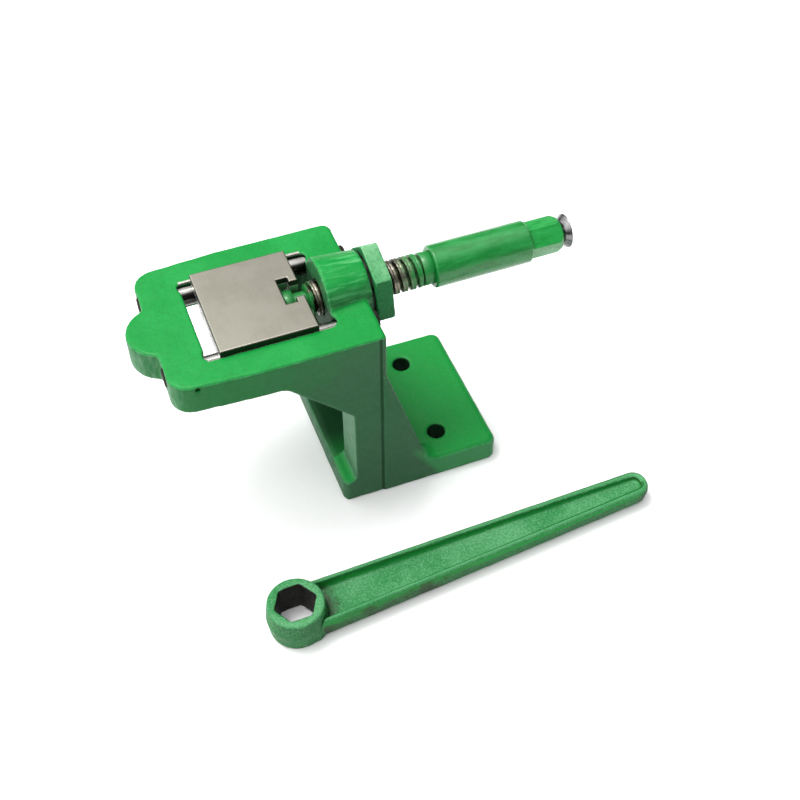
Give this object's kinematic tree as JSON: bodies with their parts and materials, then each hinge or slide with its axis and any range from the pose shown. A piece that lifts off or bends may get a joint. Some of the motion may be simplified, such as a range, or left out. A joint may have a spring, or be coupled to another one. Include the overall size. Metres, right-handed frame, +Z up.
{
  "type": "drill press vise",
  "caption": "Bolt-down bracket vise: cast foot and column carry a ring-shaped head whose small window jaw is driven by a coarse screw with lock nut; loose hexagon wrench beside it.",
  "frame": {"origin": "on the ground, midway between the two bolt holes of the foot", "axes": "+X towards the screw's grip, +Y towards the back rail, +Z up"},
  "size_m": [0.2749, 0.1869, 0.1517],
  "materials": {
    "green_casting": "glossy green paint over a sand-cast skin",
    "green_steel": "glossy green paint over turned steel",
    "ground_steel": "ground, fine cross marks",
    "bright_rod": "polished round bar",
    "screw_steel": "oiled turned thread, green overspray",
    "dark_screw": "blackened steel",
    "cap_steel": "dark polished steel"
  },
  "bodies": {
    "frame": {"casting": "green_casting", "guide_rod_back": "bright_rod", "guide_rod_front": "bright_rod", "rod_set_screws": "dark_screw"},
    "jaw": {"jaw_plate": "ground_steel", "jaw_carriage": "ground_steel", "jaw_screws": "dark_screw"},
    "spindle": {"spindle": "screw_steel", "grip_sleeve": "green_steel", "hex_drive": "green_steel", "end_screw": "cap_steel"},
    "lock_washer": {"lock_washer": "dark_screw"},
    "lock_nut": {"lock_nut": "green_casting"},
    "wrench": {"wrench": "green_casting"}
  },
  "joints": [
    {"name": "jaw_slide", "type": "slide", "parent": "frame", "child": "jaw", "axis": [-1, 0, 0], "range_m": [-0.0092, 0.0066]},
    {"name": "spindle_turn", "type": "hinge", "parent": "jaw", "child": "spindle", "pos_m": [0, 0, 0.1278], "axis": [-1, 0, 0], "range_deg": [-665, 480]},
    {"name": "lock_nut_travel", "type": "slide", "parent": "frame", "child": "lock_washer", "axis": [1, 0, 0], "range_m": [0, 0.0163]},
    {"name": "lock_nut_turn", "type": "hinge", "parent": "lock_washer", "child": "lock_nut", "pos_m": [-0.0287, 0, 0.1278], "axis": [1, 0, 0], "range_deg": [0, 1177]},
    {"name": "wrench_lift", "type": "slide", "parent": "frame", "child": "wrench", "axis": [0, 0, 1], "range_m": [0, 0.15]}
  ],
  "couplings": [
    {"joint": "spindle_turn", "follows": "jaw_slide", "rad_per_m": 1256.6},
    {"joint": "lock_nut_turn", "follows": "lock_nut_travel", "rad_per_m": 1256.6}
  ]
}
